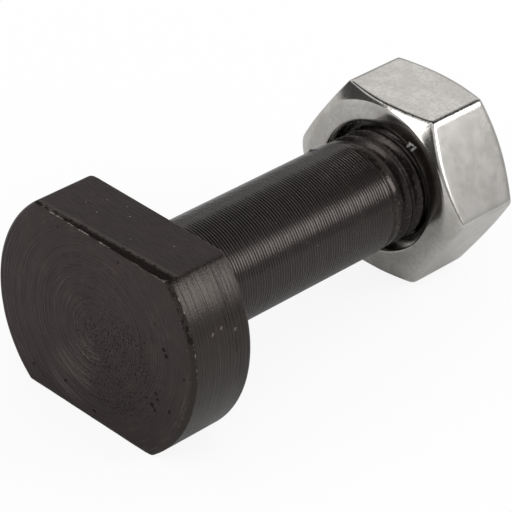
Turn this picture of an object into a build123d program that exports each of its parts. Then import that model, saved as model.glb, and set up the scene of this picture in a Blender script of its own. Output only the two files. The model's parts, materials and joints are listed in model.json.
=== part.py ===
from build123d import *
import os
from math import cos, radians, sqrt, tan

# T-slot bolt with its hexagon nut, lying on the flats of its head as it comes to rest.
# Millimetres. +X runs along the bolt from the head to the nut, +Z is up, and the origin is
# on the surface that the bolt lies on, under the middle of its length.

# Bolt head: a turned disc with two milled flats that keep it from turning in the T-slot
head_diameter = 25.9
head_thickness = 7.45
upper_flat_offset = 9.6        # bolt axis to the upper flat
lower_flat_offset = 10.05      # bolt axis to the lower flat: milled a little off centre
rim_bevel_width = 0.65         # front rim, measured across the face
rim_bevel_depth = 0.2          # front rim, measured along the bolt
back_edge_break = 0.25         # rim of the bearing side

# Strip filed along the front edge of the upper flat, widening towards -Y
filed_width_narrow = 0.6
filed_width_wide = 1.2
filed_angle = 11.0             # degrees below the upper flat

# Shank and the blank that the thread is cut on
shank_diameter = 11.94
neck_fillet = 0.3              # root fillet between head and shank
shank_end = 35.0               # head face to the end of the full diameter
bolt_length = 50.0             # head face to the threaded end
end_chamfer = 1.0

# Thread form, one groove for each turn, with a shallow first groove where the die ran out
thread_diameter = 11.8         # over the crests
thread_pitch = 1.75
groove_depth = 0.95
groove_mouth = 1.45            # width at the crests
groove_root = 0.3              # width at the bottom
first_groove = 37.05           # head face to the first groove of full depth
runout_depth = 0.3             # depth of the run-out groove before it

# Hexagon nut, chamfered on both faces, with two of its flats level with the head's
nut_across_flats = 19.0
nut_height = 9.45
nut_position = 39.1            # head face to the near face of the nut
nut_corner_radius = 0.2        # corners of the drawn hexagon bar
face_circle_diameter = 18.1    # ring left on each face inside the corner chamfer
corner_chamfer_angle = 28.0    # degrees from the face
mouth_diameter = 14.1          # countersink at both ends of the bore
mouth_half_angle = 45.0        # degrees from the axis
thread_clearance = 0.09        # radial play between the nut's bore and the crests

# Sizes that follow from the ones above
head_radius = head_diameter / 2
shank_radius = shank_diameter / 2
crest_radius = thread_diameter / 2
bore_radius = crest_radius + thread_clearance
face_circle_radius = face_circle_diameter / 2
mouth_radius = mouth_diameter / 2
overall_length = max(bolt_length, nut_position + nut_height)
axis_height = max(lower_flat_offset, nut_across_flats / 2)
face_x = -overall_length / 2
nut_x = face_x + nut_position
bolt_axis = Axis((0, 0, axis_height), (1, 0, 0))

# Half-section planes: local x runs along the bolt, local y outwards from its axis
bolt_section = Plane(origin=(face_x, 0, axis_height), x_dir=(1, 0, 0), z_dir=(0, -1, 0))
nut_section = Plane(origin=(nut_x, 0, axis_height), x_dir=(1, 0, 0), z_dir=(0, -1, 0))

os.makedirs("parts", exist_ok=True)

# ---------------------------------------------------------------- bolt
# Groove of the thread as seen in the half-section. It is drawn past the blank's surface so
# that the cut is clean, and its flanks keep their slope whatever its depth.
flank_slope = (groove_mouth - groove_root) / 2 / groove_depth
overcut = 0.2


def groove_points(position, depth):
    bottom = crest_radius - depth
    top = crest_radius + overcut
    half_root = groove_root / 2
    half_top = half_root + flank_slope * (depth + overcut)
    return (
        (position - half_top, top),
        (position - half_root, bottom),
        (position + half_root, bottom),
        (position + half_top, top),
    )


with BuildPart() as bolt:
    with BuildSketch(bolt_section):
        with BuildLine():
            Polyline(
                (head_thickness, shank_radius + neck_fillet),
                (head_thickness, head_radius - back_edge_break),
                (head_thickness - back_edge_break, head_radius),
                (rim_bevel_depth, head_radius),
                (0, head_radius - rim_bevel_width),
                (0, 0),
                (bolt_length, 0),
                (bolt_length, crest_radius - end_chamfer),
                (bolt_length - end_chamfer, crest_radius),
                (shank_end, crest_radius),
                (shank_end, shank_radius),
                (head_thickness + neck_fillet, shank_radius),
            )
            RadiusArc(
                (head_thickness + neck_fillet, shank_radius),
                (head_thickness, shank_radius + neck_fillet),
                neck_fillet,
            )
        make_face()
    revolve(axis=bolt_axis)

    # Thread grooves, from the run-out groove to the last one before the end chamfer
    full_grooves = int((bolt_length - end_chamfer - first_groove) / thread_pitch) + 1
    with BuildSketch(bolt_section):
        with BuildLine():
            Polyline(*groove_points(first_groove - thread_pitch, runout_depth), close=True)
        make_face()
        for turn in range(full_grooves):
            with BuildLine():
                Polyline(*groove_points(first_groove + turn * thread_pitch, groove_depth), close=True)
            make_face()
    revolve(axis=bolt_axis, mode=Mode.SUBTRACT)

    # Two flats milled across the head
    for side, offset in ((1, upper_flat_offset), (-1, lower_flat_offset)):
        waste = head_radius - offset
        with BuildSketch(Plane.XY.offset(axis_height + side * (offset + waste / 2))):
            with Locations((face_x + head_thickness / 2, 0)):
                Rectangle(head_thickness, head_diameter)
        extrude(amount=waste / 2, both=True, mode=Mode.SUBTRACT)

    # Filed strip: a plane hinged on a line across the upper flat, sloping down to the face
    half_flat = sqrt(head_radius**2 - upper_flat_offset**2)
    strip_end = Vector(face_x + filed_width_wide, -half_flat, axis_height + upper_flat_offset)
    strip_edge = Vector(filed_width_narrow - filed_width_wide, 2 * half_flat, 0)
    strip_normal = Vector(0, 0, 1).rotate(Axis((0, 0, 0), strip_edge), -filed_angle)
    strip_plane = Plane(origin=strip_end, x_dir=strip_edge, z_dir=strip_normal)
    split(bisect_by=strip_plane, keep=Keep.BOTTOM)

bolt.part.label = "t_slot_bolt"
export_step(bolt.part, "parts/t_slot_bolt.step")

# ---------------------------------------------------------------- nut
corner_reach = nut_across_flats / 2 / cos(radians(30)) + overcut
corner_drop = (corner_reach - face_circle_radius) * tan(radians(corner_chamfer_angle))
mouth_depth = (mouth_radius - bore_radius) / tan(radians(mouth_half_angle))

with BuildPart() as nut:
    with BuildSketch(Plane(origin=(nut_x, 0, axis_height), x_dir=(0, 1, 0), z_dir=(1, 0, 0))) as hexagon:
        RegularPolygon(nut_across_flats / 2, side_count=6, major_radius=False)
        fillet(hexagon.vertices(), nut_corner_radius)
    extrude(amount=nut_height)

    # A cone at each face turns the six corners down and leaves the curved edges on the sides
    with BuildSketch(nut_section):
        with BuildLine():
            Polyline(
                (0, 0),
                (0, face_circle_radius),
                (corner_drop, corner_reach),
                (nut_height - corner_drop, corner_reach),
                (nut_height, face_circle_radius),
                (nut_height, 0),
                close=True,
            )
        make_face()
    revolve(axis=bolt_axis, mode=Mode.INTERSECT)

    # Bore at the thread's full diameter, countersunk at both ends
    with BuildSketch(nut_section):
        with BuildLine():
            Polyline(
                (0, 0),
                (0, mouth_radius),
                (mouth_depth, bore_radius),
                (nut_height - mouth_depth, bore_radius),
                (nut_height, mouth_radius),
                (nut_height, 0),
                close=True,
            )
        make_face()
    revolve(axis=bolt_axis, mode=Mode.SUBTRACT)

nut.part.label = "hex_nut"
export_step(nut.part, "parts/hex_nut.step")
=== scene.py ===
import json
from math import asin, cos, pi, radians, sin, sqrt, tan

import bmesh
import bpy
import numpy as np
from mathutils import Matrix, Vector


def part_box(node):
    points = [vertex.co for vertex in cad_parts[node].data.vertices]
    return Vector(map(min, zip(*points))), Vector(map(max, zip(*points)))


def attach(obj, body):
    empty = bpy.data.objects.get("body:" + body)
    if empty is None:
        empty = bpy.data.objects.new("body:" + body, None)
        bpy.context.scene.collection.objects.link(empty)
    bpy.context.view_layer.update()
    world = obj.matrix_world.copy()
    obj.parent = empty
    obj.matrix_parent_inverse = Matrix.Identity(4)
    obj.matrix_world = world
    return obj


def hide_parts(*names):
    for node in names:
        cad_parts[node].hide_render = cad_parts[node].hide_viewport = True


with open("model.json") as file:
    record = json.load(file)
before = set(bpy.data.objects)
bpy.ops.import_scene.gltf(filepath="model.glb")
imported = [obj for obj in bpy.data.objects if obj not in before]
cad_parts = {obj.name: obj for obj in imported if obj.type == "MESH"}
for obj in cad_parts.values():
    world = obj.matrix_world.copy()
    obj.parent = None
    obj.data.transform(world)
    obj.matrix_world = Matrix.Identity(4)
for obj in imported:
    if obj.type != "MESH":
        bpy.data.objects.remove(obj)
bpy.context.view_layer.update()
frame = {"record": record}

# T-slot bolt with a hexagon nut. Sizes are millimetres in the bolt's own frame: x runs from the
# head's face towards the nut, y and z are measured from the bolt's axis, and angles round the
# bolt go from +Y towards +Z. place() turns that into the frame's metres.
MM = 0.001

bolt_low, bolt_high = (Vector(corner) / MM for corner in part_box("t_slot_bolt"))
nut_low, nut_high = (Vector(corner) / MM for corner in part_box("hex_nut"))
hinge = frame["record"]["behaviour"]["joints"][0]["pos_m"]
AXIS_HEIGHT = hinge[2] / MM
FACE_X = bolt_low.x

# Head
HEAD_RADIUS = (bolt_high.y - bolt_low.y) / 2
HEAD_THICKNESS = 7.45
UPPER_FLAT = bolt_high.z - AXIS_HEIGHT
LOWER_FLAT = AXIS_HEIGHT - bolt_low.z
HALF_FLAT = sqrt(HEAD_RADIUS ** 2 - UPPER_FLAT ** 2)   # half the upper flat's length
BEVEL_WIDTH = 0.65
BEVEL_DEPTH = 0.2
BEVEL_WAVES = ((0.14, 2.3), (0.05, 0.6))       # how much its width varies, and over what length
LEFT_BEVEL = 0.3                               # share of its width on the head's +Y half
BACK_BREAK = 0.25
LOWER_BREAK = 0.08
STRIP_NARROW = 0.42
STRIP_WIDE = 1.22
STRIP_SLOPE = tan(radians(11))

# Shank
SHANK_RADIUS = 5.97
NECK_FILLET = 0.3
SHANK_START = HEAD_THICKNESS + NECK_FILLET
SHANK_END = 34.95
BOLT_LENGTH = bolt_high.x - bolt_low.x
END_CHAMFER = 1.0
TURNING_PITCH = 0.34
TURNING_DEPTH = 0.037
TURNED_PASSES = round((SHANK_END - SHANK_START) / TURNING_PITCH)
PASS_LENGTH = (SHANK_END - SHANK_START) / TURNED_PASSES
# One pass of the turning tool: place along the pitch and share of the depth
TURNED_PASS = ((0.0, 0.0), (0.12, 0.52), (0.3, 1.0), (0.65, 0.67))
BURR_PLACE = 33.0
BURR_ANGLE = radians(53)
BURR_HEIGHT = 0.22
BURR_LENGTH = 0.35
BURR_WIDTH = 0.4

# Thread
CREST_RADIUS = 5.9
PITCH = 1.75
GROOVE_DEPTH = 0.95
GROOVE_ROOT = 0.3
GROOVE_MOUTH = 1.45
FLANK_SLOPE = (GROOVE_MOUTH - GROOVE_ROOT) / 2 / GROOVE_DEPTH
ROOT_ROUNDING = 0.12
CREST_ROUNDING = 0.06
FIRST_GROOVE = 36.8            # centre of the first full groove, straight above the axis
RUNOUT = 1.1 * PITCH
# Rows across one pitch, measured from the middle of the groove
GROOVE_ROWS = (-0.15, 0.0, 0.15, 0.34, 0.53, 0.67, 0.73, 0.8, 0.95, 1.02, 1.08, 1.22, 1.41)

# Nut, measured from its near face
NUT_POSITION = nut_low.x - FACE_X
NUT_HEIGHT = nut_high.x - nut_low.x
NUT_FLAT = (nut_high.z - nut_low.z) / 2
FACE_CIRCLE = 9.05
CORNER_ANGLE = radians(28)
MOUTH_RADIUS = 7.05
BORE_RADIUS = 5.99
# The knocked corner: which way it faces, along x and y, and how far out it still reaches
BLUNT_FACING = (-0.6, 0.8)
BLUNT_REACH = 8.0

# Mesh
COLUMN_STEP = radians(2.6)
CORNER_COLUMNS = (-0.9, -0.35, 0.35, 0.9)      # degrees beside each corner of the head
NUT_COLUMNS = 26                               # for each side of the nut
# Rows inside each stretch of the head's and the nut's outlines
HEAD_ROWS = (30, 3, 24, 1, 12)
NUT_ROWS = (6, 4, 22, 4, 6, 4, 14, 4)
EDGE_ROWS = (0.03, 0.08, 0.16)                 # rows beside each end of a stretch
LONG_STRETCH = 0.8                             # shorter stretches squeeze their edge rows
FILLET_ROWS = 5
CHAMFER_ROWS = 14
END_FACE_ROWS = 10
PROBE = 0.004                                  # step that measures the slope of a distance
WELD = 0.0015
SLIVER = 0.0005
SHARP_TURN = radians(28)


# ---------------------------------------------------------------- shared mesh code
def place(points, along=0.0):
    """Points of the bolt's own frame, moved along it, in the frame's metres."""
    moved = points + np.array((FACE_X + along, 0.0, AXIS_HEIGHT))
    return moved * MM


def rounded_max(first, second, width):
    """The larger of two distances, blended over a width, which rounds the edge between them."""
    overlap = np.maximum(width - np.abs(first - second), 0) / width
    return np.maximum(first, second) + overlap * overlap * width / 4


def rounded_min(first, second, width):
    return -rounded_max(-first, -second, width)


def round_off(surfaces, widths, usual=0.1):
    """Distance to the solid that all these surfaces bound, each edge rounded over its width."""
    total = None
    for name, distance in surfaces.items():
        total = distance if total is None else rounded_max(total, distance, widths.get(name, usual))
    return total


def smooth_step(value):
    value = np.clip(value, 0, 1)
    return value * value * (3 - 2 * value)


def settle(points, distance, steps=4):
    """Moves each point on to the surface where distance() is zero, along its slope."""
    for _ in range(steps):
        value = distance(points)
        slope = np.stack([(distance(points + PROBE * axis) - value) / PROBE for axis in np.eye(3)], axis=-1)
        points = points - (value / (slope ** 2).sum(axis=-1))[..., None] * slope
    return points


class LatticeNoise:
    """Smooth noise from -1 to 1 on a seeded lattice that repeats after CELLS cells."""

    CELLS = 64

    def __init__(self, seed):
        self.values = np.random.default_rng(seed).uniform(-1, 1, (self.CELLS,) * 3)

    def __call__(self, points, cell):
        scaled = np.asarray(points) / cell
        base = np.floor(scaled).astype(int)
        part = smooth_step(scaled - base)
        total = 0
        for corner in np.ndindex(2, 2, 2):
            weight = np.prod(np.where(corner, part, 1 - part), axis=-1)
            index = (base + corner) % self.CELLS
            total = total + weight * self.values[index[..., 0], index[..., 1], index[..., 2]]
        return total


def stretch_rows(start, end, inner_rows):
    """Rows from start to end, both (x, r) pairs with one value for each column, finer at the ends."""
    run, rise = end[0] - start[0], end[1] - start[1]
    length = np.maximum(np.hypot(run, rise), 1e-6)
    squeeze = np.minimum(1, length / LONG_STRETCH)
    near = [edge * squeeze / length for edge in EDGE_ROWS]
    first = near[-1]
    middle = [first + (1 - 2 * first) * step for step in np.linspace(0, 1, inner_rows + 2)[1:-1]]
    shares = [0 * length] + near + middle + [1 - share for share in reversed(near)]
    return [(start[0] + share * run, start[1] + share * rise) for share in shares]


def outline_rows(corners, inner_rows):
    """Rows along an outline that runs from corner to corner."""
    rows = []
    for start, end, inner in zip(corners[:-1], corners[1:], inner_rows):
        rows += stretch_rows(start, end, inner)
    return rows + [corners[-1]]


def ring_points(rows, angles):
    """(x, r) rows as an array of points, rows by columns."""
    along = np.array([row[0] + 0 * angles for row in rows])
    radius = np.array([row[1] + 0 * angles for row in rows])
    return np.stack([along, radius * np.cos(angles), radius * np.sin(angles)], axis=-1)


def sheet_mesh(name, grids, along=0.0, crisp=(0.0, 0.0)):
    """One closed mesh from grids of points whose borders meet. The seams are welded.

    Edges between the two crisp places are shaded sharp where they turn by more than SHARP_TURN.
    """
    mesh = bpy.data.meshes.new(name)
    points = []
    faces = []
    start = 0
    for grid in grids:
        rows, columns = grid.shape[:2]
        points.append(grid.reshape(-1, 3))
        index = start + np.arange(rows * columns).reshape(rows, columns)
        quads = np.stack([index[:-1, :-1], index[:-1, 1:], index[1:, 1:], index[1:, :-1]], axis=-1)
        faces.append(quads.reshape(-1, 4))
        start += rows * columns
    mesh.from_pydata(place(np.concatenate(points), along).tolist(), [], np.concatenate(faces).tolist())
    work = bmesh.new()
    work.from_mesh(mesh)
    bmesh.ops.remove_doubles(work, verts=work.verts, dist=WELD * MM)
    bmesh.ops.dissolve_degenerate(work, edges=work.edges, dist=SLIVER * MM)
    bmesh.ops.recalc_face_normals(work, faces=work.faces)
    for face in work.faces:
        face.smooth = True
    low, high = ((FACE_X + along + end) * MM for end in crisp)
    for edge in work.edges:
        if low < edge.verts[0].co.x < high and edge.calc_face_angle(0) > SHARP_TURN:
            edge.smooth = False
    work.to_mesh(mesh)
    work.free()
    piece = bpy.data.objects.new(name, mesh)
    bpy.context.collection.objects.link(piece)
    return piece


# ---------------------------------------------------------------- bolt
HEAD_NOISE = LatticeNoise(11)


def bolt_angles():
    """Columns round the bolt, one full turn from the thread's seam, finer at the head's corners."""
    seam = pi / 2 + 2 * pi * (((SHANK_END - GROOVE_ROWS[0] - FIRST_GROOVE) / PITCH) % 1)
    upper = asin(UPPER_FLAT / HEAD_RADIUS)
    lower = asin(LOWER_FLAT / HEAD_RADIUS)
    corners = [upper, pi - upper, pi + lower, 2 * pi - lower]
    marks = sorted((corner - seam) % (2 * pi) for corner in corners)
    steps = [0.0] + marks + [2 * pi]
    turns = []
    for begin, end in zip(steps[:-1], steps[1:]):
        count = max(6, round((end - begin) / COLUMN_STEP))
        share = np.linspace(0, 1, count, endpoint=False)
        turns.extend(begin + (end - begin) * share)
    for mark in marks:
        turns.extend(mark + radians(offset) for offset in CORNER_COLUMNS)
    return seam + np.array(sorted(turns) + [2 * pi])


def strip_width(y):
    """Width of the filed strip, which tapers along the upper flat."""
    return STRIP_WIDE + (STRIP_NARROW - STRIP_WIDE) * (y + HALF_FLAT) / (2 * HALF_FLAT)


def head_surfaces(points, noise):
    """Signed distance to each surface of the head. The bevel is uneven, and the filed strip tapers."""
    x, y, z = points[..., 0], points[..., 1], points[..., 2]
    radius = np.hypot(y, z)
    bevel_width = BEVEL_WIDTH + sum(amount * noise(points, length) for amount, length in BEVEL_WAVES)
    bevel_width = np.where(y > 0, LEFT_BEVEL * bevel_width, bevel_width)
    bevel_length = np.hypot(bevel_width, BEVEL_DEPTH)
    return {
        "rim": radius - HEAD_RADIUS,
        "upper_flat": z - UPPER_FLAT,
        "lower_flat": -z - LOWER_FLAT,
        "strip": z - UPPER_FLAT + STRIP_SLOPE * (strip_width(y) - x),
        "bevel": (BEVEL_DEPTH * (radius - HEAD_RADIUS + bevel_width) - bevel_width * x) / bevel_length,
        "lower_edge": (-x - z - LOWER_FLAT + LOWER_BREAK) / sqrt(2),
        "face": -x,
        "back_edge": (x - HEAD_THICKNESS + radius - HEAD_RADIUS + BACK_BREAK) / sqrt(2),
        "seat": x - HEAD_THICKNESS,
    }


def head_distance(points, noise):
    """Signed distance to the head, with its edges rounded unevenly by wear."""
    worn = 0.07 + 0.1 * (0.5 + 0.5 * noise(points, 0.7))
    widths = {"upper_flat": worn, "lower_flat": worn, "strip": 0.03, "bevel": 0.06, "lower_edge": 0.05,
              "face": worn, "back_edge": 0.1, "seat": 0.1}
    return round_off(head_surfaces(points, noise), widths)


def head_rows(angles):
    """The head's outline at each angle, from the middle of its face to the neck."""
    flat = 0 * angles
    rise = np.maximum(np.sin(angles), 1e-3)
    fall = np.maximum(-np.sin(angles), 1e-3)
    rim = np.minimum(HEAD_RADIUS, np.minimum(UPPER_FLAT / rise, LOWER_FLAT / fall))
    strip = strip_width(np.clip(rim * np.cos(angles), -HALF_FLAT, HALF_FLAT))
    on_strip = UPPER_FLAT / rise < HEAD_RADIUS
    on_lower = LOWER_FLAT / fall < HEAD_RADIUS
    round_edge = HEAD_RADIUS - np.where(np.cos(angles) > 0, LEFT_BEVEL, 1) * BEVEL_WIDTH
    strip_edge = (UPPER_FLAT - STRIP_SLOPE * strip) / rise
    lower_edge = (LOWER_FLAT - LOWER_BREAK) / fall
    edge = np.minimum(round_edge, np.minimum(strip_edge, lower_edge))
    depth = np.where(on_strip, strip, np.where(on_lower, LOWER_BREAK, BEVEL_DEPTH))
    centre = (flat, flat)
    front = (flat, edge)
    shoulder = (depth, rim)
    back = (HEAD_THICKNESS - BACK_BREAK + (HEAD_RADIUS - rim).clip(0, BACK_BREAK), rim)
    seat = (flat + HEAD_THICKNESS, np.minimum(rim, HEAD_RADIUS - BACK_BREAK))
    neck = (flat + HEAD_THICKNESS, flat + SHANK_RADIUS + NECK_FILLET)
    return outline_rows([centre, front, shoulder, back, seat, neck], HEAD_ROWS)


def thread_radius(along, angles):
    """Radius of the threaded end: a right-hand groove that grows to its full depth over the run-out."""
    turns = (along - FIRST_GROOVE) / PITCH - (angles - pi / 2) / (2 * pi)
    offset = (turns - np.round(turns)) * PITCH
    centre = along - offset
    depth = GROOVE_DEPTH * smooth_step((centre - FIRST_GROOVE + RUNOUT) / RUNOUT)
    wall = rounded_max(0 * offset, (np.abs(offset) - GROOVE_ROOT / 2) / FLANK_SLOPE, ROOT_ROUNDING)
    groove = CREST_RADIUS - depth + wall
    blank = np.minimum(CREST_RADIUS, CREST_RADIUS + BOLT_LENGTH - END_CHAMFER - along)
    return rounded_min(groove, blank, CREST_ROUNDING)


def shank_rows(random):
    """Neck fillet and the turned shank, one shallow scallop for each pass of the tool."""
    rows = []
    for turn in np.linspace(0, pi / 2, FILLET_ROWS, endpoint=False):
        along, out = NECK_FILLET * (1 - cos(turn)), NECK_FILLET * (1 - sin(turn))
        rows.append((HEAD_THICKNESS + along, SHANK_RADIUS + out))
    depths = TURNING_DEPTH * random.uniform(0.85, 1.15, TURNED_PASSES)
    for number, depth in enumerate(depths):
        for share, cut in TURNED_PASS:
            rows.append((SHANK_START + (number + share) * PASS_LENGTH, SHANK_RADIUS - cut * depth))
    return rows + [(SHANK_END, SHANK_RADIUS)]


def lift_burr(points):
    """A small burr thrown up on the shank, near the thread."""
    x, y, z = points[..., 0], points[..., 1], points[..., 2]
    around = y * sin(BURR_ANGLE) - z * cos(BURR_ANGLE)
    outward = np.maximum(y * cos(BURR_ANGLE) + z * sin(BURR_ANGLE), 0) / SHANK_RADIUS
    fade = np.exp(-((x - BURR_PLACE) / BURR_LENGTH) ** 2 - (around / BURR_WIDTH) ** 2)
    grown = 1 + BURR_HEIGHT * outward * fade / SHANK_RADIUS
    return np.stack([x, y * grown, z * grown], axis=-1)


def thread_grids(angles):
    """The threaded end as grids that follow the helix, closed by a wedge at each end."""
    turned = (angles - angles[0]) / (2 * pi)
    offsets = np.array(GROOVE_ROWS) - GROOVE_ROWS[0]
    turns = int((BOLT_LENGTH - SHANK_END) / PITCH)
    first_wedge = [SHANK_END + offset * turned for offset in (*offsets, PITCH)]
    helix = [SHANK_END + number * PITCH + offset + PITCH * turned
             for number in range(turns - 1) for offset in offsets]
    helix.append(SHANK_END + (turns - 1) * PITCH + PITCH * turned)
    last = SHANK_END + turns * PITCH
    last_wedge = [last - (PITCH - offset) * (1 - turned) for offset in (*offsets, PITCH)]
    end = [along + 0 * angles for along in np.linspace(last, BOLT_LENGTH, CHAMFER_ROWS)]
    grids = []
    for rows in (first_wedge, helix, last_wedge, end):
        grids.append(ring_points([(along, thread_radius(along, angles)) for along in rows], angles))
    return grids


def make_bolt():
    angles = bolt_angles()
    random = np.random.default_rng(5)
    head = ring_points(head_rows(angles), angles)
    head[:-1] = settle(head[:-1], lambda points: head_distance(points, HEAD_NOISE))
    shank = lift_burr(ring_points(shank_rows(random), angles))
    step = ring_points([(SHANK_END, SHANK_RADIUS), (SHANK_END, thread_radius(SHANK_END, angles))], angles)
    thread = thread_grids(angles)
    end_radius = thread_radius(BOLT_LENGTH, angles)
    shares = np.linspace(1, 0, END_FACE_ROWS)
    end_face = ring_points([(BOLT_LENGTH, end_radius * share) for share in shares], angles)
    piece = sheet_mesh("bolt", [head, shank, step] + thread + [end_face], crisp=(SHANK_START, SHANK_END))
    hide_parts("t_slot_bolt")
    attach(piece, "bolt")
    return piece


# ---------------------------------------------------------------- nut
def nut_surfaces(points):
    """Signed distance to each surface of the nut, measured from its near face."""
    x, y, z = points[..., 0], points[..., 1], points[..., 2]
    radius = np.hypot(y, z)
    far = NUT_HEIGHT - x
    surfaces = {}
    for side in range(6):
        turn = pi / 6 + side * pi / 3
        surfaces[f"side_{side}"] = y * cos(turn) + z * sin(turn) - NUT_FLAT
    surfaces["near_cone"] = (radius - FACE_CIRCLE) * sin(CORNER_ANGLE) - x * cos(CORNER_ANGLE)
    surfaces["far_cone"] = (radius - FACE_CIRCLE) * sin(CORNER_ANGLE) - far * cos(CORNER_ANGLE)
    surfaces["near_face"] = -x
    surfaces["far_face"] = -far
    surfaces["near_mouth"] = (MOUTH_RADIUS - x - radius) / sqrt(2)
    surfaces["far_mouth"] = (MOUTH_RADIUS - far - radius) / sqrt(2)
    surfaces["bore"] = BORE_RADIUS - radius
    return surfaces


def nut_distance(points, noise):
    """Signed distance to the nut, rounded most low on its near face, with one corner knocked blunt."""
    x, y, z = points[..., 0], points[..., 1], points[..., 2]
    worn = 0.16 + 0.08 * (0.5 + 0.5 * noise(points, 0.8))
    lower = 0.4 * smooth_step((1.0 - z) / 5.0)
    widths = {"near_cone": worn + lower, "far_cone": 0.2, "near_face": 0.1 + lower, "far_face": 0.1,
              "near_mouth": 0.12, "far_mouth": 0.12, "bore": 0.1}
    body = round_off(nut_surfaces(points), widths, usual=0.3)
    blunt = BLUNT_FACING[0] * x + BLUNT_FACING[1] * y - BLUNT_REACH
    return rounded_max(body, blunt, 0.2)


def make_nut():
    sector = np.sin(np.linspace(-pi / 2, pi / 2, NUT_COLUMNS, endpoint=False)) * pi / 6
    angles = np.concatenate([pi / 6 + side * pi / 3 + sector for side in range(6)] + [[2 * pi]])
    from_middle = angles % (pi / 3) - pi / 6
    hexagon = NUT_FLAT / np.cos(from_middle)
    drop = (hexagon - FACE_CIRCLE) * tan(CORNER_ANGLE)
    depth = MOUTH_RADIUS - BORE_RADIUS
    flat = 0 * angles
    corners = [
        (flat, flat + MOUTH_RADIUS), (flat, flat + FACE_CIRCLE), (drop, hexagon),
        (NUT_HEIGHT - drop, hexagon), (flat + NUT_HEIGHT, flat + FACE_CIRCLE),
        (flat + NUT_HEIGHT, flat + MOUTH_RADIUS), (flat + NUT_HEIGHT - depth, flat + BORE_RADIUS),
        (flat + depth, flat + BORE_RADIUS),
    ]
    rows = outline_rows(corners + corners[:1], NUT_ROWS)
    noise = LatticeNoise(23)
    grid = settle(ring_points(rows, angles), lambda points: nut_distance(points, noise))
    piece = sheet_mesh("nut", [grid], NUT_POSITION)
    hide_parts("hex_nut")
    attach(piece, "nut")
    return piece


bolt = make_bolt()
nut = make_nut()


# ---------------------------------------------------------------- shared node code
class Graph:
    """Short ways to add nodes. A value is a number, a tuple or another node's output."""

    def __init__(self, owner):
        owner.use_nodes = True
        self.nodes = owner.node_tree.nodes
        self.links = owner.node_tree.links

    def set(self, node, name, value):
        socket = node.inputs[name]
        if isinstance(value, bpy.types.NodeSocket):
            self.links.new(value, socket)
        else:
            socket.default_value = value

    def math(self, operation, *values):
        node = self.nodes.new("ShaderNodeMath")
        node.operation = operation
        for number, value in enumerate(values):
            self.set(node, number, value)
        return node.outputs[0]

    def times(self, first, second):
        return self.math("MULTIPLY", first, second)

    def largest(self, *values):
        total = values[0]
        for value in values[1:]:
            total = self.math("MAXIMUM", total, value)
        return total

    def spread(self, value, low, high, start=0.0, end=1.0, shape="SMOOTHSTEP"):
        """Maps low..high to start..end and holds the ends."""
        node = self.nodes.new("ShaderNodeMapRange")
        node.interpolation_type = shape
        inputs = {"Value": value, "From Min": low, "From Max": high, "To Min": start, "To Max": end}
        for name, item in inputs.items():
            self.set(node, name, item)
        return node.outputs[0]

    def choose(self, share, start, end):
        """start where share is 0 and end where it is 1."""
        return self.spread(share, 0, 1, start, end, "LINEAR")

    def split(self, vector):
        node = self.nodes.new("ShaderNodeSeparateXYZ")
        self.links.new(vector, node.inputs[0])
        return node.outputs

    def seen(self, *kinds):
        """1 for rays of these kinds, 0 for the rays that light the object."""
        path = self.nodes.new("ShaderNodeLightPath")
        return self.largest(*(path.outputs[kind] for kind in kinds))


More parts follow.
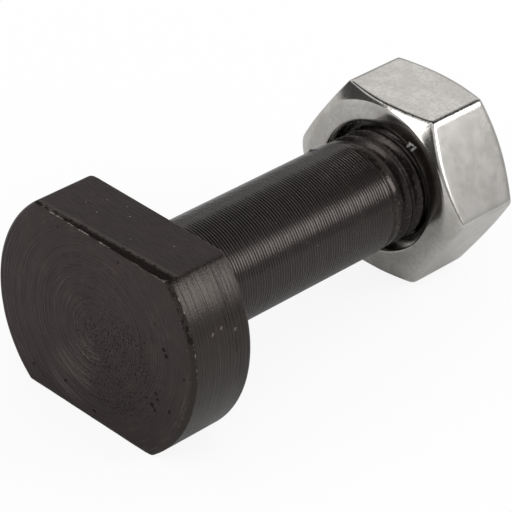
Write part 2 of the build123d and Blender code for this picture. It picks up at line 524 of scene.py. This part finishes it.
# ---------------------------------------------------------------- materials
class Surface(Graph):
    """A Principled material. Positions are in millimetres from the head's face and the bolt's axis."""

    def __init__(self, name, colour, metallic, roughness):
        self.material = bpy.data.materials.new(name)
        super().__init__(self.material)
        self.shader = self.nodes["Principled BSDF"]
        self.set(self.shader, "Base Color", (*colour, 1))
        self.set(self.shader, "Metallic", metallic)
        self.set(self.shader, "Roughness", roughness)
        coordinates = self.nodes.new("ShaderNodeTexCoord").outputs["Object"]
        start = (-FACE_X, 0, -AXIS_HEIGHT)
        self.position = self.vector("MULTIPLY_ADD", coordinates, (1 / MM, 1 / MM, 1 / MM), start)

    def vector(self, operation, *values, output=0):
        node = self.nodes.new("ShaderNodeVectorMath")
        node.operation = operation
        for number, value in enumerate(values):
            self.set(node, number, value)
        return node.outputs[output]

    def dash(self, centre, along, reach):
        """1 on a short scratch that runs from its centre to both sides, and 0 off it."""
        offset = self.vector("SUBTRACT", self.position, centre)
        towards = Vector(along).normalized()
        run = self.vector("DOT_PRODUCT", offset, towards, output="Value")
        across = self.vector("LENGTH", self.vector("CROSS_PRODUCT", offset, towards), output="Value")
        ends = self.spread(self.math("ABSOLUTE", run), reach, reach * 0.7)
        return self.times(ends, self.spread(across, 0.15, 0.09))

    def spot(self, centre, radius, ragged=0.0):
        """1 inside a round spot, with a ragged edge, and 0 outside it."""
        away = self.vector("DISTANCE", self.position, centre, output="Value")
        if ragged:
            away = self.math("MULTIPLY_ADD", self.noise(0.2, detail=1.0), ragged, away)
            radius += ragged / 2
        return self.spread(away, radius, radius * 0.6)

    def noise(self, size, vector=None, fourth=None, detail=2.0):
        """Noise whose features are about size millimetres, from 0 to 1."""
        node = self.nodes.new("ShaderNodeTexNoise")
        node.noise_dimensions = "3D" if fourth is None else "4D"
        self.set(node, "Vector", self.position if vector is None else vector)
        if fourth is not None:
            self.set(node, "W", fourth)
        self.set(node, "Scale", 1 / size)
        self.set(node, "Detail", detail)
        return node.outputs["Fac"]

    def mix(self, share, first, second):
        """The first colour where share is 0 and the second where it is 1."""
        node = self.nodes.new("ShaderNodeMix")
        node.data_type = "RGBA"
        self.links.new(share, node.inputs[0])
        for number, value in ((6, first), (7, second)):
            self.set(node, number, value if isinstance(value, bpy.types.NodeSocket) else (*value, 1))
        return node.outputs[2]

    def wear(self):
        node = self.nodes.new("ShaderNodeAttribute")
        node.attribute_name = "wear"
        return node.outputs["Fac"]

    def flecked_wear(self, size, detail, low, high):
        return self.times(self.wear(), self.spread(self.noise(size, detail=detail), low, high))

    def bump(self, *layers):
        """Adds bump layers, each a height from 0 to 1 and its depth in millimetres."""
        normal = None
        for height, depth in layers:
            node = self.nodes.new("ShaderNodeBump")
            self.set(node, "Height", height)
            self.set(node, "Distance", depth * MM)
            self.set(node, "Strength", 1.0)
            if normal is not None:
                self.set(node, "Normal", normal)
            normal = node.outputs["Normal"]
        self.set(self.shader, "Normal", normal)

    def round_the_axis(self, stretch):
        """Vector and fourth value that change fast along the bolt and outwards, and slowly round it."""
        x, y, z = self.split(self.position)
        squares = self.math("ADD", self.times(y, y), self.times(z, z))
        radius = self.largest(self.math("SQRT", squares), 0.01)
        across, up = (self.times(self.math("DIVIDE", value, radius), stretch) for value in (y, z))
        join = self.nodes.new("ShaderNodeCombineXYZ")
        for number, value in enumerate((x, across, up)):
            self.set(join, number, value)
        return join.outputs[0], radius


BARE_STEEL = (0.56, 0.52, 0.47)
BLACK = (0.009, 0.0065, 0.006)
BROWN = (0.014, 0.0095, 0.0085)
DULL_BLACK = (0.004, 0.0033, 0.003)
# Tints of the gloss: on flat surfaces, on turned ones and on the shank
FLAT_TINT = (1.0, 0.76, 0.74)
TURNED_TINT = (1.0, 0.89, 0.82)
SHANK_TINT = (1.0, 0.84, 0.79)
# Specular level of clean and of dull black oxide
GLOSS = 0.5
DULL_GLOSS = 0.08
# The renderer's denoiser keeps fine lines only where enough of a surface is at least this rough
LINED_ROUGHNESS = 0.276
# A weak haze over the shank's sharper gloss, which keeps its lines in the same way
HAZE = 0.22
HAZE_ROUGHNESS = 0.3

# Torn spots on the head's face: y, z and radius
FACE_TEARS = ((-8.8, 2.3, 0.3), (-9.2, 1.8, 0.3), (-8.3, -2.9, 0.24), (-8.6, -3.4, 0.26),
              (-7.9, -4.3, 0.34), (-8.3, -4.7, 0.26), (-10.1, -3.9, 0.28), (-11.5, 0.5, 0.2),
              (-0.7, -9.0, 0.24), (3.3, -7.7, 0.28), (7.6, -8.1, 0.22), (-2.4, 8.5, 0.24),
              (5.4, 8.4, 0.2), (-7.5, 4.5, 0.16), (-6.4, 1.8, 0.16))
TEAR_GROWTH = 1.15
# Spots, each a centre and a radius: the face's rough patch, its scored part, and the wedge of
# painted sheen below its middle, which two spots make up: lighter arcs painted there as a lamp's reflection
ROUGH_SPOT = ((0, -3.0, -2.6), 7.0)
SCORED_SPOT = ((0, 0, 0), 11.0)
FACE_PAINTED_SHEEN = (((0, 1.2, -3.8), 2.8), ((0, 2.8, -6.4), 3.4))
# Spots that cover the chewed stretch of the bevel and the threaded end
CHEWED_RIM = ((0.5, -10.0, 7.0), 4.5)
THREADED_END = ((42.5, 0, 0), 11.0)
# Scuffs on the head's side: angle and x
SCUFFS = ((radians(159.5), 2.7), (radians(158.6), 3.85), (radians(161.8), 5.5))
SCUFF_DIRECTION = (0.7, 0.2, 0.6)
SCUFF_REACH = 0.2
# Light specks on the upper flat: x, y and radius
FLAT_SPECKS = ((3.6, 5.6, 0.07), (3.2, 3.7, 0.07), (5.4, 4.6, 0.06), (5.0, 1.2, 0.08), (6.0, 2.6, 0.06),
               (2.4, -1.5, 0.06), (4.6, -4.9, 0.07))


class BlackOxide(Surface):
    """Black oxide: near black and slightly brown, with a warm, weak gloss and maybe some haze."""

    def __init__(self, name, roughness, tint=FLAT_TINT, haze=0.0):
        super().__init__(name, BLACK, 0.0, roughness)
        self.set(self.shader, "Coat Weight", haze)
        self.set(self.shader, "Coat Roughness", HAZE_ROUGHNESS)
        self.set(self.shader, "IOR", 1.52)
        self.set(self.shader, "Specular Tint", (*tint, 1))
        patches = self.noise(2.2, detail=4.0)
        self.colour = self.mix(self.spread(patches, 0.42, 0.7), BLACK, BROWN)

    def complete(self, worn, dark):
        """Bare steel where worn is 1, and dull black where dark is 1."""
        colour = self.mix(dark, self.colour, DULL_BLACK)
        self.set(self.shader, "Base Color", self.mix(worn, colour, BARE_STEEL))
        self.set(self.shader, "Metallic", self.times(worn, 0.9))
        gloss = self.math("MULTIPLY_ADD", dark, DULL_GLOSS - GLOSS, GLOSS)
        self.set(self.shader, "Specular IOR Level", gloss)
        return self.material

    def turning_marks(self, line_size):
        """Rings on the face, lines round the head, and their broken ridges and grooves."""
        vector, radius = self.round_the_axis(0.16)
        rings = self.noise(0.36, vector, radius, 1.0)
        lines = self.noise(line_size, vector, radius, 1.0)
        broken = self.noise(1.1, detail=3.0)
        ridges = self.times(self.spread(lines, 0.56, 0.74), self.spread(broken, 0.4, 0.65))
        grooves = self.times(self.spread(lines, 0.44, 0.28), self.spread(broken, 0.65, 0.4))
        return rings, lines, ridges, grooves


def faced_black():
    """The head's face: rings from facing, with torn spots, a rough patch under its middle and a painted
    sheen below it.
    """
    surface = BlackOxide("faced_black_oxide", 0.3)
    rings, lines, ridges, grooves = surface.turning_marks(0.13)
    # Torn spots and the rough patch
    rough = surface.times(surface.spot(*ROUGH_SPOT), 0.115)
    pitted = surface.math("SUBTRACT", surface.noise(0.21, detail=2.0), rough)
    tears = [surface.spot((0, y, z), TEAR_GROWTH * size, 0.45) for y, z, size in FACE_TEARS]
    torn = surface.largest(surface.spread(pitted, 0.3, 0.25), *tears)
    # Scores, and the painted sheen: arcs of bare steel painted in a wedge to stand in for a lamp's
    # reflection
    vector, radius = surface.round_the_axis(0.2)
    fine = surface.noise(0.15, vector, radius, 0.0)
    broken = surface.spread(surface.noise(0.7, vector, radius), 0.42, 0.6)
    scored = surface.times(surface.spot(*SCORED_SPOT), broken)
    scores = surface.times(surface.spread(fine, 0.54, 0.62), scored)
    painted_sheen = surface.largest(*(surface.spot(centre, reach) for centre, reach in FACE_PAINTED_SHEEN))
    painted_sheen_arcs = surface.times(painted_sheen, surface.spread(fine, 0.46, 0.64))
    # worn holds real wear and also the painted sheen's arcs
    worn = surface.largest(surface.flecked_wear(0.35, 3.0, 0.45, 0.62), surface.times(ridges, 0.05),
                           surface.times(painted_sheen_arcs, 0.065))
    dark = surface.largest(torn, surface.math("MULTIPLY_ADD", grooves, 0.3, 0.1))
    whole = surface.math("SUBTRACT", 1.0, torn)
    surface.bump((rings, 0.03), (lines, 0.06), (scores, 0.07), (whole, 0.06))
    return surface.complete(worn, dark)


class TurnedBlack(BlackOxide):
    """What the turned surfaces share: turning marks, pits and worn edges."""

    def __init__(self, name, roughness, tint, dullness, haze=0.0):
        super().__init__(name, roughness, tint, haze)
        self.rings, self.lines, ridges, grooves = self.turning_marks(0.15)
        self.worn = self.largest(self.flecked_wear(0.35, 4.0, 0.5, 0.68), self.times(ridges, 0.02))
        pits = self.spread(self.noise(0.3, detail=2.0), 0.3, 0.24)
        self.dark = self.largest(self.times(self.largest(pits, grooves), 0.6), dullness)


def side_black():
    """The head's side: fine lines from turning, and three scuffs."""
    surface = TurnedBlack("turned_black_oxide", LINED_ROUGHNESS, TURNED_TINT, dullness=0.2)
    scuffs = []
    for angle, x in SCUFFS:
        centre = (x, HEAD_RADIUS * cos(angle), HEAD_RADIUS * sin(angle))
        scuffs.append(surface.dash(centre, SCUFF_DIRECTION, SCUFF_REACH))
    worn = surface.largest(surface.worn, surface.times(surface.largest(*scuffs), 0.18))
    surface.bump((surface.rings, 0.006), (surface.lines, 0.055), (surface.noise(0.2, detail=3.0), 0.014))
    return surface.complete(worn, surface.dark)


def bevel_black():
    """The bevel: smooth, and chewed up along one stretch."""
    surface = TurnedBlack("bevel_black_oxide", 0.3, TURNED_TINT, dullness=0.25)
    lumps = surface.spread(surface.noise(0.5, detail=2.0), 0.42, 0.58)
    chewed = surface.times(surface.spot(*CHEWED_RIM), lumps)
    grain = surface.noise(0.2, detail=3.0)
    surface.bump((surface.rings, 0.008), (surface.lines, 0.02), (grain, 0.014), (chewed, 0.08))
    return surface.complete(surface.worn, surface.largest(surface.dark, surface.times(chewed, 0.8)))


def shank_black():
    """The shank and its dirtier thread: glossy and hazy, with light specks."""
    surface = TurnedBlack("shank_black_oxide", 0.15, SHANK_TINT, dullness=0.38, haze=HAZE)
    specks = surface.spread(surface.noise(0.25, detail=1.0), 0.77, 0.82, 0.0, 0.3)
    threaded = surface.spot(*THREADED_END)
    crumbs = surface.noise(0.28, detail=3.0)
    flakes = surface.times(threaded, surface.spread(crumbs, 0.54, 0.7, 0.0, 0.07))
    dirt = surface.times(threaded, surface.spread(crumbs, 0.5, 0.36, 0.1, 0.6))
    surface.bump((surface.noise(1.5, detail=3.0), 0.025), (surface.times(crumbs, threaded), 0.018))
    worn = surface.largest(surface.worn, specks, flakes)
    return surface.complete(worn, surface.largest(surface.dark, dirt))


def milled_black():
    """The head's two flats: plain and matt, with faint scratches across and small light specks."""
    surface = BlackOxide("milled_black_oxide", 0.4)
    slanted = surface.vector("MULTIPLY", surface.position, (1.0, 0.12, 1.0))
    scratches = surface.noise(0.14, slanted, detail=1.0)
    specks = [surface.spot((x, y, UPPER_FLAT), size) for x, y, size in FLAT_SPECKS]
    worn = surface.times(surface.largest(surface.wear(), *specks), 0.6)
    pits = surface.spread(surface.noise(0.22, detail=2.0), 0.36, 0.26)
    dark = surface.math("MULTIPLY_ADD", pits, 0.5, surface.spread(scratches, 0.4, 0.58, 0.2, 0.0))
    surface.bump((scratches, 0.016), (surface.noise(0.14, detail=3.0), 0.01))
    return surface.complete(worn, dark)


def filed_black():
    """The filed strip: even and dark, with its lower edge rubbed to bare steel in places."""
    surface = BlackOxide("filed_black_oxide", LINED_ROUGHNESS)
    marks = surface.noise(0.3, detail=3.0)
    surface.bump((marks, 0.006))
    worn = surface.flecked_wear(0.4, 3.0, 0.38, 0.52)
    return surface.complete(worn, surface.spread(marks, 0.6, 0.3, 0.5, 0.7))


ZINC = (0.685, 0.665, 0.635)
ZINC_DULL = (0.5, 0.48, 0.45)
ZINC_SPECK = (0.1, 0.095, 0.09)
ZINC_BRIGHT = (0.9, 0.89, 0.87)
# Brighter, rougher dashes on the nut's near face: centre, direction and half length
BRIGHT_DASHES = (((NUT_POSITION, -3.6, 6.4), (0, 0.5, -0.6), 0.5),
         ((NUT_POSITION, -4.3, 6.4), (0, 0.5, -0.6), 0.55),
         ((NUT_POSITION, -3.95, 6.75), (0, 1.0, 0.1), 0.4))


def plated(name, roughness, waviness, mottling, marks=()):
    """Bright zinc plate, softly mottled, with dark specks that gather along some edges."""
    surface = Surface(name, ZINC, 1.0, roughness)
    patches = surface.noise(2.0, detail=5.0)
    mottle = surface.noise(0.4, detail=4.0)
    specks = surface.spread(surface.noise(0.22, detail=2.0), 0.31, 0.22, 0.0, 0.7)
    edge_dirt = surface.flecked_wear(0.25, 2.0, 0.46, 0.6)
    colour = surface.mix(surface.spread(patches, 0.38, 0.62, 0.0, mottling * 0.8), ZINC, ZINC_DULL)
    colour = surface.mix(surface.spread(mottle, 0.42, 0.68, 0.0, mottling * 0.75), colour, ZINC_DULL)
    colour = surface.mix(surface.largest(specks, edge_dirt), colour, ZINC_SPECK)
    rough = surface.spread(mottle, 0.3, 0.7, roughness * 0.9, roughness * 1.15)
    # Brighter, rougher zinc along each given dash
    for centre, along, reach in marks:
        dash = surface.dash(centre, along, reach)
        colour = surface.mix(dash, colour, ZINC_BRIGHT)
        rough = surface.math("MULTIPLY_ADD", dash, 0.4, rough)
    surface.set(surface.shader, "Base Color", colour)
    surface.set(surface.shader, "Roughness", rough)
    surface.bump((surface.noise(1.3, detail=1.0), waviness), (surface.noise(0.11, detail=2.0), 0.0015))
    return surface.material


def finish(piece, along, surfaces, materials, wear, unsmoothed=None):
    """Gives each face the material of the surface that it lies on, and each point its wear.

    Faces of the unsmoothed material are shaded flat.
    """
    mesh = piece.data
    shift = np.array((FACE_X + along, 0.0, AXIS_HEIGHT))

    def read(items, name):
        values = np.empty(len(items) * 3)
        items.foreach_get(name, values)
        return values.reshape(-1, 3) / MM - shift

    points = read(mesh.vertices, "co")
    distances = surfaces(read(mesh.polygons, "center"))
    nearest = np.argmax(np.stack(list(distances.values())), axis=0)
    slots = list(dict.fromkeys(materials.values()))
    for material in slots:
        mesh.materials.append(material)
    index = np.array([slots.index(materials[name]) for name in distances])[nearest]
    mesh.polygons.foreach_set("material_index", index.astype(np.int32))
    if unsmoothed:
        mesh.polygons.foreach_set("use_smooth", index != slots.index(unsmoothed))
    layer = mesh.attributes.new("wear", "FLOAT", "POINT")
    layer.data.foreach_set("value", wear(points).astype(np.float32))
    mesh.update()


def second_largest(distances):
    return np.sort(np.stack(list(distances.values())), axis=0)[-2]


# Where the filed strip's lower edge is rubbed bare: from y, to y, and how much
STRIP_WEAR = ((5.2, 7.7, 1.0), (3.6, 4.5, 0.9), (1.5, 2.9, 1.0), (-0.9, 0.3, 0.9), (-5.1, -4.3, 0.5),
              (-8.4, -6.4, 0.6))
# How bare the rim beside the strip, the head's other edges and the thread's crests are
RIM_WEAR = 0.6
EDGE_WEAR = 0.1
CREST_WEAR = 0.06


def bolt_wear(points):
    """How bare the steel is: along the strip's lower edge, on other edges and on the thread's crests."""
    distances = head_surfaces(points, HEAD_NOISE)
    inside = -second_largest(distances)
    x, y, z = points[:, 0], points[:, 1], points[:, 2]
    radius = np.hypot(y, z)
    on_strip_edge = (np.abs(distances["strip"]) < 0.1) & (x < 0.25)
    edge = 1 - smooth_step(inside / np.where(on_strip_edge, 0.09, 0.07))
    rubbed = np.zeros(len(points))
    for low, high, strength in STRIP_WEAR:
        rubbed = np.maximum(rubbed, strength * ((y > low) & (y < high)))
    on_rim = (x < 0.5) & (z < UPPER_FLAT - 0.6) & (z > 1.0) & (y < 0) & (radius > HEAD_RADIUS - 0.25)
    amount = np.where(on_strip_edge, rubbed, np.where(on_rim, RIM_WEAR, EDGE_WEAR))
    crest = smooth_step((x - SHANK_END + 1) / 2) * smooth_step((radius - CREST_RADIUS + 0.12) / 0.1)
    return np.where(x < HEAD_THICKNESS + 0.1, edge * amount, CREST_WEAR * crest)


def nut_wear(points):
    """Dark specks along the near and right edges of the side that is uppermost at rest."""
    edge = 1 - smooth_step(-second_largest(nut_surfaces(points)) / 0.3)
    x, y, z = points[:, 0], points[:, 1], points[:, 2]
    upper = smooth_step((z - NUT_FLAT + 0.5) / 0.3) * smooth_step((3.0 - y) / 4.0)
    near_or_right = (x < NUT_HEIGHT - 1.0) & (y < 4.5)
    return np.where(near_or_right & (np.hypot(y, z) > FACE_CIRCLE + 0.1), edge * upper, 0.0)


def finish_bolt():
    side = side_black()
    shank = shank_black()
    milled = milled_black()
    filed = filed_black()
    materials = {"rim": side, "back_edge": side, "bevel": bevel_black(), "face": faced_black(),
                 "upper_flat": milled, "lower_flat": milled, "lower_edge": milled, "strip": filed,
                 "seat": shank}
    finish(bolt, 0, lambda points: head_surfaces(points, HEAD_NOISE), materials, bolt_wear, filed)


def finish_nut():
    satin = plated("zinc_flats", roughness=0.17, waviness=0.0025, mottling=0.6)
    bright = plated("zinc_turned", roughness=0.14, waviness=0.004, mottling=0.7, marks=BRIGHT_DASHES)
    names = nut_surfaces(np.zeros((1, 3)))
    materials = {name: satin if name.startswith("side") else bright for name in names}
    finish(nut, NUT_POSITION, nut_surfaces, materials, nut_wear)


finish_bolt()
finish_nut()


# ---------------------------------------------------------------- studio
CENTRE = Vector((0, 0, AXIS_HEIGHT * MM))


def aim(thing, direction, distance):
    """Puts a lamp or a card in that direction from the bolt's middle, facing it."""
    towards = Vector(direction).normalized()
    thing.location = CENTRE + towards * distance
    thing.rotation_euler = towards.to_track_quat("Z", "Y").to_euler()


def soft_box(name, direction, distance, width, height, radiance):
    """A rectangular lamp of even brightness. Radiance 1 is as bright as white paper in full light."""
    data = bpy.data.lights.new(name, "AREA")
    data.shape = "RECTANGLE"
    data.size = width
    data.size_y = height
    data.energy = radiance * width * height * pi
    lamp = bpy.data.objects.new(name, data)
    bpy.context.collection.objects.link(lamp)
    aim(lamp, direction, distance)
    lamp.visible_camera = False


def sheet(name, points):
    """An object of one face, and the node graph of its material without a shader."""
    mesh = bpy.data.meshes.new(name)
    mesh.from_pydata(points, [], [tuple(range(len(points)))])
    piece = bpy.data.objects.new(name, mesh)
    bpy.context.collection.objects.link(piece)
    material = bpy.data.materials.new(name)
    mesh.materials.append(material)
    graph = Graph(material)
    graph.nodes.remove(graph.nodes["Principled BSDF"])
    material.cycles.emission_sampling = "NONE"
    return piece, graph


def card(name, points, shade):
    """A glowing card that only reflections see, as a studio's unlit side."""
    piece, graph = sheet(name, points)
    for kind in ("camera", "diffuse", "transmission", "shadow"):
        setattr(piece, "visible_" + kind, False)
    glow = graph.nodes.new("ShaderNodeEmission")
    glow.inputs["Color"].default_value = (shade, shade, shade, 1)
    graph.links.new(glow.outputs[0], graph.nodes["Material Output"].inputs[0])
    return piece


def rectangle(width, height):
    x, y = width / 2, height / 2
    return [(-x, -y, 0), (x, -y, 0), (x, y, 0), (-x, y, 0)]


def wall(name, direction, distance, width, height, shade):
    """A rectangular card in that direction from the bolt's middle, facing it."""
    aim(card(name, rectangle(width, height), shade), direction, distance)


def canopy(name, elevations, headings, height, shade):
    """A card overhead that covers these ranges of elevation and heading, in degrees, seen from the bolt."""
    outer, inner = (height / tan(radians(elevation)) for elevation in elevations)
    begin, end = headings
    steps = 24
    turns = [radians(begin + (end - begin) * step / steps) for step in range(steps + 1)]
    points = [(outer * cos(turn), outer * sin(turn), height) for turn in turns]
    points += [(inner * cos(turn), inner * sin(turn), height) for turn in reversed(turns)]
    card(name, points, shade)


def make_world(level, horizon, top):
    """White to the camera. Reflections see walls that are dimmer towards the floor; lighting is even."""
    world = bpy.data.worlds.new("studio")
    bpy.context.scene.world = world
    graph = Graph(world)
    height = graph.split(graph.nodes.new("ShaderNodeTexCoord").outputs["Generated"])["Z"]
    mirrored = graph.spread(height, 0.2, 0.5, horizon, top)
    lit = graph.choose(graph.seen("Is Glossy Ray", "Is Transmission Ray"), level, mirrored)
    background = graph.nodes["Background"]
    graph.set(background, "Color", (1, 1, 1, 1))
    graph.set(background, "Strength", graph.choose(graph.seen("Is Camera Ray"), lit, 1.0))


def make_floor(size, paper_shade, camera_glow, mirror_glow):
    """Pale paper under the bolt. To the camera it is white, with a faint shadow."""
    _, graph = sheet("floor", rectangle(size, size))
    on_camera = graph.seen("Is Camera Ray")
    shade = graph.choose(on_camera, paper_shade, 1.0)
    paper = graph.nodes.new("ShaderNodeBsdfDiffuse")
    graph.set(paper, "Color", shade)
    glow = graph.nodes.new("ShaderNodeEmission")
    graph.set(glow, "Strength", shade)
    share = graph.choose(graph.seen("Is Glossy Ray", "Is Transmission Ray"), 0.0, mirror_glow)
    mix = graph.nodes.new("ShaderNodeMixShader")
    graph.set(mix, 0, graph.choose(on_camera, share, camera_glow))
    graph.set(mix, 1, paper.outputs[0])
    graph.set(mix, 2, glow.outputs[0])
    graph.links.new(mix.outputs[0], graph.nodes["Material Output"].inputs[0])


make_world(level=0.84, horizon=0.32, top=0.92)
make_floor(size=3.0, paper_shade=0.69, camera_glow=0.88, mirror_glow=0.05)
soft_box("key", (0.59, -0.69, 0.43), distance=0.6, width=0.26, height=0.23, radiance=4.4)
soft_box("front_left", (-0.915, 0.28, 0.29), distance=0.6, width=0.28, height=0.25, radiance=2.4)
canopy("overhead_flag", elevations=(39, 80), headings=(-60, 125), height=0.5, shade=0.06)
wall("front_flag", (-0.98, -0.145, 0.14), distance=0.58, width=0.24, height=0.28, shade=0.04)
wall("back_wall", (1.0, 0.0, 0.22), distance=0.62, width=0.52, height=0.34, shade=0.95)
wall("right_wall", (0.7, -0.7, 0.12), distance=0.62, width=0.6, height=0.12, shade=0.4)
wall("left_flag", (-0.54, 0.83, 0.12), distance=0.6, width=0.54, height=0.26, shade=0.06)


# ---------------------------------------------------------------- camera
CAMERA_HEADING = radians(40.292)       # from +X towards +Y
CAMERA_DROP = radians(32.943)
CAMERA_ROLL = radians(5.573)
CAMERA_DISTANCE = 297.79
CAMERA_LENS = 215.13
SENSOR_WIDTH = 36
CENTRE_TO_RIGHT = 2.223                # the bolt's middle, away from the middle of the picture
CENTRE_UP = 2.084


def make_camera():
    level = Vector((sin(CAMERA_HEADING), -cos(CAMERA_HEADING), 0))
    forward = Vector((cos(CAMERA_HEADING), sin(CAMERA_HEADING), 0)) * cos(CAMERA_DROP)
    forward.z = -sin(CAMERA_DROP)
    upright = level.cross(forward)
    right = level * cos(CAMERA_ROLL) + upright * sin(CAMERA_ROLL)
    up = right.cross(forward)
    data = bpy.data.cameras.new("camera")
    data.sensor_width = SENSOR_WIDTH
    data.lens = CAMERA_LENS
    data.clip_start = 0.01
    camera = bpy.data.objects.new("camera", data)
    bpy.context.collection.objects.link(camera)
    away = right * CENTRE_TO_RIGHT + up * CENTRE_UP + forward * CAMERA_DISTANCE
    turn = Matrix((right, up, -forward)).transposed().to_4x4()
    camera.matrix_world = Matrix.Translation(CENTRE - away * MM) @ turn
    bpy.context.scene.camera = camera


make_camera()
bpy.context.scene.view_settings.view_transform = "Standard"
